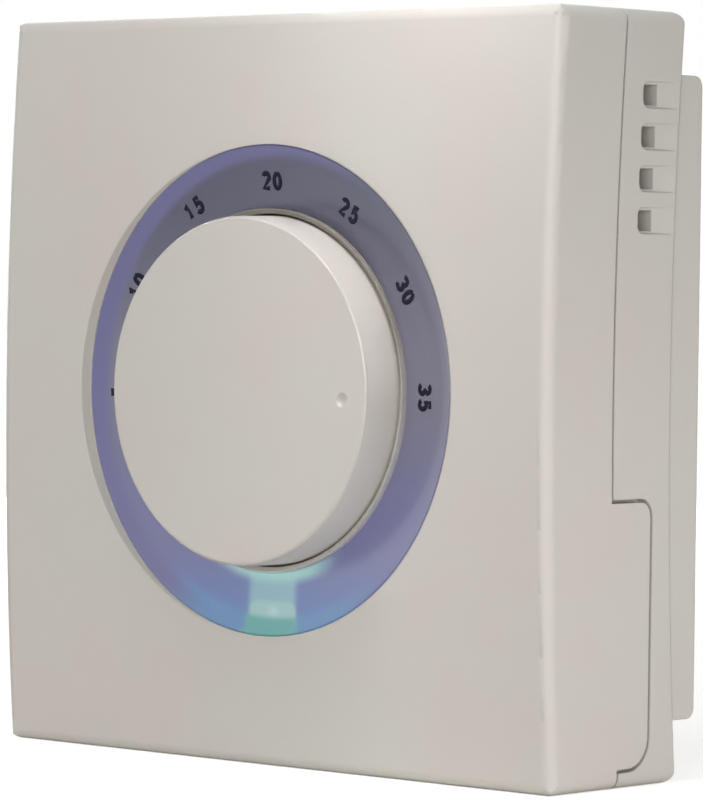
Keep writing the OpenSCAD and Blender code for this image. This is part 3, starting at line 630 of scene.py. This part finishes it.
def joint(name, radius, steps):
    """A joint that rises from a pad by steps of (height, width against the last), in mm."""
    bpy.ops.object.select_all(action="DESELECT")
    bpy.ops.mesh.primitive_circle_add(vertices=14, radius=radius * MM, fill_type="NGON")
    made = bpy.context.object
    made.name = name
    bpy.ops.object.mode_set(mode="EDIT")
    bpy.ops.mesh.select_all(action="SELECT")
    for height, share in steps:
        bpy.ops.mesh.extrude_region_move(TRANSFORM_OT_translate={"value": (0, 0, height * MM)})
        bpy.ops.transform.resize(value=(share, share, 1))
    bpy.ops.mesh.select_all(action="SELECT")
    bpy.ops.mesh.normals_make_consistent(inside=False)
    bpy.ops.object.mode_set(mode="OBJECT")
    made.data.shade_smooth()
    return made


def set_out(pattern, name, spots, face, side):
    """Copies of one shape on a face of the board at (x, z) spots in mm, joined as one piece.
    side is 1 on the rear and -1 on the front."""
    copies = []
    for x, z in spots:
        copy = pattern.copy()
        copy.data = pattern.data.copy()
        bpy.context.collection.objects.link(copy)
        turn = Matrix.Rotation(-math.pi / 2 * side, 4, "X")
        copy.matrix_world = Matrix.Translation((x * MM, face, z * MM)) @ turn
        copies.append(copy)
    bpy.ops.object.select_all(action="DESELECT")
    for copy in copies:
        copy.select_set(True)
    bpy.context.view_layer.objects.active = copies[0]
    bpy.ops.object.transform_apply()
    bpy.ops.object.join()
    piece = bpy.context.object
    piece.name = name
    piece.data.materials.append(solder)
    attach(piece, "front_unit")
    return piece


rear_leads = [(x, pin_row) for x in pole_x]
rear_leads += [(-27, 19.5), (-27, 26.5), (-11, 19.5), (-11, 26.5), (0.5, 27), (15.5, 27)]
rear_leads += [(5.2, 15.5), (8.8, 15.5), (16.2, 15.5), (19.8, 15.5), (29, 17.5), (29, 22.5)]
rear_leads += [(-6.5, 12), (-1.5, 12), (-28.5, 14.5), (-15.5, 14.5), (-28.5, 9.5), (-15.5, 9.5)]
front_leads = [(-5, -9.6), (0, -9.6), (5, -9.6), (-16.6, -33), (-15.4, -33)]
vias = [(-9, 3), (-31, -3), (28, -4), (12, 4), (-4, 6), (19, 6), (-5, -12.8), (22.5, 12)]
fillet = joint("fillet", 1.0,
               [(0.05, 0.98), (0.12, 0.72), (0.28, 0.62), (0.45, 0.8), (0.12, 0.75)])
small_fillet = joint("small_fillet", 0.56, [(0.05, 0.98), (0.2, 0.6), (0.35, 0.8), (0.1, 0.7)])
pad = joint("pad", 1.05, [(0.05, 0.98)])
via = joint("via", 0.42, [(0.05, 0.9), (0.02, 0.5)])
set_out(fillet, "solder_front", rear_leads, board_front, -1)
set_out(fillet, "solder_rear", front_leads[:3], board_rear, 1)
set_out(small_fillet, "solder_thermistor", front_leads[3:], board_rear, 1)
set_out(pad, "pads_rear", rear_leads, board_rear, 1)
set_out(via, "vias_rear", vias, board_rear, 1)
for pattern in (fillet, small_fillet, pad, via):
    bpy.data.objects.remove(pattern)

# ---- Parts on the rear of the board ----
# The mains parts stand toward the wall: a sealed relay, a boxed film capacitor that drops
# the voltage, two electrolytics, a varistor, a fuse, film resistors and a bridge rectifier.

# Moulded cases: smooth and half glossy, in the usual blue, yellow or brown of such parts.
finish_with("relay", moulded("relay_case_pbt", "#2C5AA0", "#27508F", 0.33, 0.7, 0.006))
finish_with("dropper_capacitor",
            moulded("capacitor_case_pbt", "#D3B53E", "#C9A935", 0.36, 0.6, 0.006))
finish_with("fuse", moulded("fuse_case_thermoplastic", "#4A2018", "#3F1B15", 0.3, 0.5, 0.004))


def bare_beyond(material, axis, low, high):
    """Keeps a finish between two places along an axis, in mm, and bares tinned wire beyond."""
    tree = material.node_tree
    axes = add(tree, "SeparateXYZ", {0: add(tree, "TexCoord").outputs["Object"]})
    under = add(tree, "Math", {0: axes.outputs[axis]}, {1: low * MM}, operation="LESS_THAN")
    over = add(tree, "Math", {0: axes.outputs[axis]}, {1: high * MM}, operation="GREATER_THAN")
    bare = add(tree, "Math", {0: under.outputs[0], 1: over.outputs[0]}, operation="MAXIMUM")
    paint_over(material, bare.outputs[0], "#C6C8CA")
    tree.links.new(bare.outputs[0], tree.nodes["Principled BSDF"].inputs["Metallic"])
    return material


def banded(material, axis, bands):
    """Paints bands of (centre, width, colour) across an axis over a finish, in mm."""
    tree = material.node_tree
    axes = add(tree, "SeparateXYZ", {0: add(tree, "TexCoord").outputs["Object"]})
    for centre, width, colour in bands:
        on = add(tree, "Math", {0: axes.outputs[axis]}, {1: centre * MM, 2: width / 2 * MM},
                 operation="COMPARE")
        paint_over(material, on.outputs[0], colour)
    return material


# Dipped coats: glossy epoxy with soft edges, and wire bared where it leaves the coat. The
# film resistors wear a pale blue lacquer with painted rings.
finish_with("varistor", bare_beyond(
    moulded("dipped_blue_epoxy", "#2F5D94", "#28507F", 0.24, 0.9, 0.01), "Y", -12.5, 0))
resistor_colours = [(-24.9, 0.7, "#7A3E1C"), (-23.3, 0.6, "#1A1A1A"), (-21.9, 0.6, "#C4471F"),
                    (-19.1, 0.7, "#B8933A")]
finish_with("power_resistors", bare_beyond(banded(
    moulded("blue_resistor_lacquer", "#86B4C6", "#7BA8BC", 0.3, 0.5, 0.006), "X",
    resistor_colours), "X", -26.4, -17.6))

# Black epoxy is moulded round tinned legs, and is nearly matt. The chip resistors are slips
# of white ceramic under a dark glaze.
for name, low, high in (("bridge_rectifier", 5.0, 10.0), ("microcontroller", -10.0, -6.0),
                        ("voltage_regulator", -15.3, -12.7)):
    finish_with(name, bare_beyond(
        moulded(name + "_black_epoxy", "#26272A", "#2E2E30", 0.5, 0.12, 0.004, 0.1),
        "Z", low, high))
finish_with("chip_resistors",
            moulded("alumina_under_glaze", "#1F2022", "#2B2A2A", 0.35, 0.3, 0.004, 0.05))
finish_with("thermistor", bare_beyond(
    moulded("dipped_brown_epoxy", "#3A2A20", "#33241B", 0.25, 0.5, 0.006), "Y", -20.5, -18.0))

# Electrolytics wear a dark sleeve with a pale stripe down the minus side of each can.
sleeve = moulded("shrunk_pvc_sleeve", "#1F2A3D", "#1B2536", 0.3, 0.9, 0.004)
finish_with("smoothing_capacitors", banded(sleeve, "X", [(10.7, 0.9, "#B9BDC2"),
                                                         (21.7, 0.9, "#B9BDC2")]))

# The bare top of a can is scored crosswise to open under pressure, into four quarters.
aluminium = metal("drawn_aluminium", "#C9CCD0", "#BCC0C5", 0.3, 0.3, 0.003)
can_top = -3.7 * MM
disc_radius = 3.0 * MM
disc_height = 0.1 * MM
disc_sink = 0.04 * MM
score = 0.14 * MM
for index, (x, z) in enumerate(can_places):
    quarters = []
    for turn in range(4):
        bpy.ops.object.select_all(action="DESELECT")
        bpy.ops.mesh.primitive_circle_add(vertices=48, radius=disc_radius, fill_type="NGON")
        piece = bpy.context.object
        bpy.ops.object.mode_set(mode="EDIT")
        bpy.ops.mesh.select_all(action="SELECT")
        bpy.ops.mesh.bisect(plane_co=(score, 0, 0), plane_no=(1, 0, 0), clear_inner=True)
        bpy.ops.mesh.select_all(action="SELECT")
        bpy.ops.mesh.bisect(plane_co=(0, score, 0), plane_no=(0, 1, 0), clear_inner=True)
        bpy.ops.mesh.select_all(action="SELECT")
        bpy.ops.mesh.extrude_region_move(TRANSFORM_OT_translate={"value": (0, 0, disc_height)})
        bpy.ops.mesh.select_all(action="SELECT")
        bpy.ops.mesh.normals_make_consistent(inside=False)
        bpy.ops.object.mode_set(mode="OBJECT")
        piece.matrix_world = (Matrix.Translation((x * MM, can_top - disc_sink, z * MM))
                              @ Matrix.Rotation(-math.pi / 2, 4, "X")
                              @ Matrix.Rotation(math.pi / 2 * turn, 4, "Z"))
        quarters.append(piece)
    bpy.ops.object.select_all(action="DESELECT")
    for piece in quarters:
        piece.select_set(True)
    bpy.ops.object.transform_apply()
    bpy.ops.object.join()
    top = bpy.context.object
    top.name = f"can_top_{index + 1}"
    top.data.materials.append(aluminium)
    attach(top, "front_unit")

# The relay's lid has a raised panel with rounded corners.
lid_middle = (-19 * MM, can_top, 23 * MM)
panel_wide, panel_high, panel_rise = 16 * MM, 6.4 * MM, 0.18 * MM
bpy.ops.object.select_all(action="DESELECT")
bpy.ops.mesh.primitive_plane_add(size=1, location=lid_middle, rotation=(-math.pi / 2, 0, 0))
panel = bpy.context.object
panel.name = "relay_lid_panel"
bpy.ops.object.transform_apply()
bpy.ops.object.mode_set(mode="EDIT")
bpy.ops.mesh.select_all(action="SELECT")
bpy.ops.transform.resize(value=(panel_wide, 1, panel_high), center_override=lid_middle)
bpy.ops.mesh.bevel(offset=0.8 * MM, segments=4, affect="VERTICES")
bpy.ops.mesh.select_all(action="SELECT")
bpy.ops.mesh.extrude_region_move(TRANSFORM_OT_translate={"value": (0, panel_rise, 0)})
bpy.ops.transform.resize(value=(0.985, 1, 0.96), center_override=lid_middle)
bpy.ops.mesh.select_all(action="SELECT")
bpy.ops.mesh.normals_make_consistent(inside=False)
bpy.ops.object.mode_set(mode="OBJECT")
panel.data.materials.append(bpy.data.materials["relay_case_pbt"])
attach(panel, "front_unit")

# ---- Board screws ----
# Four cross-head screws of steel wire, headed cold and plated with zinc. They hold the board
# on the cover's posts.
finish_with("board_screws", zinc_steel)

# ---- Lamps under the ring ----
# White moulded lamp packages on the front of the board: one green status lamp under the
# window, and five violet lamps spaced under the ring. Their silicone lenses are waxy, with
# a tint of the light that they give.
for name, lens in (("status_lamp", "#CFE9DC"), ("backlight_lamps", "#D9D6EE")):
    finish_with(name, moulded(name + "_silicone_lens", lens, "#E3E6E2", 0.3, 0.4, 0.003, 0.1))

# ---- Potentiometer ----
# A plated steel can on the front of the board with a brass bush, a phenolic track with an
# acetal wiper, and a steel shaft kept in by a sprung clip. The knob's socket fits its flat.

# Tin plate is bright but soft, phenolic paper is brown and dull, and acetal is a waxy white.
# Brass and steel are smooth from the lathe, and the spring strip of the clip is darker.
finish_with("pot_housing", metal("tin_plated_can", "#C7C9C8", "#B9BAB6", 0.34, 0.2, 0.004))
finish_with("pot_track", moulded("phenolic_paper_board", "#8A5A34", "#7C4F2C", 0.45, 0.3, 0.006))
finish_with("pot_bush", metal("turned_brass", "#CDB26A", "#BFA25A", 0.26, 0.12, 0.004))
finish_with("pot_wiper", moulded("white_acetal", "#E2E0D6", "#DAD7CA", 0.32, 0.5, 0.004))
turned_steel = metal("turned_steel", "#BFC0C0", "#AEB0B0", 0.28, 0.1, 0.004)
finish_with("knob_shaft", turned_steel)
finish_with("shaft_clip", metal("spring_steel_strip", "#8E9092", "#7C7F83", 0.3, 0.2, 0.003))

# ---- Knob ----
# A moulded cap in the same cream ABS from a finer, satin mould, pushed onto the flat of the
# shaft. Its face is flat and plain but for the pointer dimple.
knob_skin = moulded("cream_abs_satin", "#D9D6CF", "#DBD3CD", 0.5, 0.2, 0.004, 0.1)
finish_with("knob", knob_skin)

# The round of its edge is too soft to draw a line of light between the face and the skirt.
tree = knob_skin.node_tree
relief = tree.nodes["Bump"]
rounded = relief.inputs["Normal"].links[0].from_socket
axes, out, radius = about_dial(tree)
on_skirt = bounded(tree, ((radius, 19.45, 19.75),))
outward = add(tree, "VectorMath", {0: out}, operation="NORMALIZE")
edge = add(tree, "Mix", {"Factor": on_skirt, "B": outward.outputs[0]}, {"A": (0, -1, 0)},
           data_type="VECTOR")
edge = add(tree, "VectorTransform", {"Vector": edge.outputs["Result"]}, **turn_with_part)
by_edge = bounded(tree, ((radius, 18.6, 18.7), (axes["Y"], -29.4, -29.7)))
crisp = add(tree, "Mix", {"Factor": by_edge, "A": rounded, "B": edge.outputs[0]},
            data_type="VECTOR")
tree.links.new(crisp.outputs["Result"], relief.inputs["Normal"])
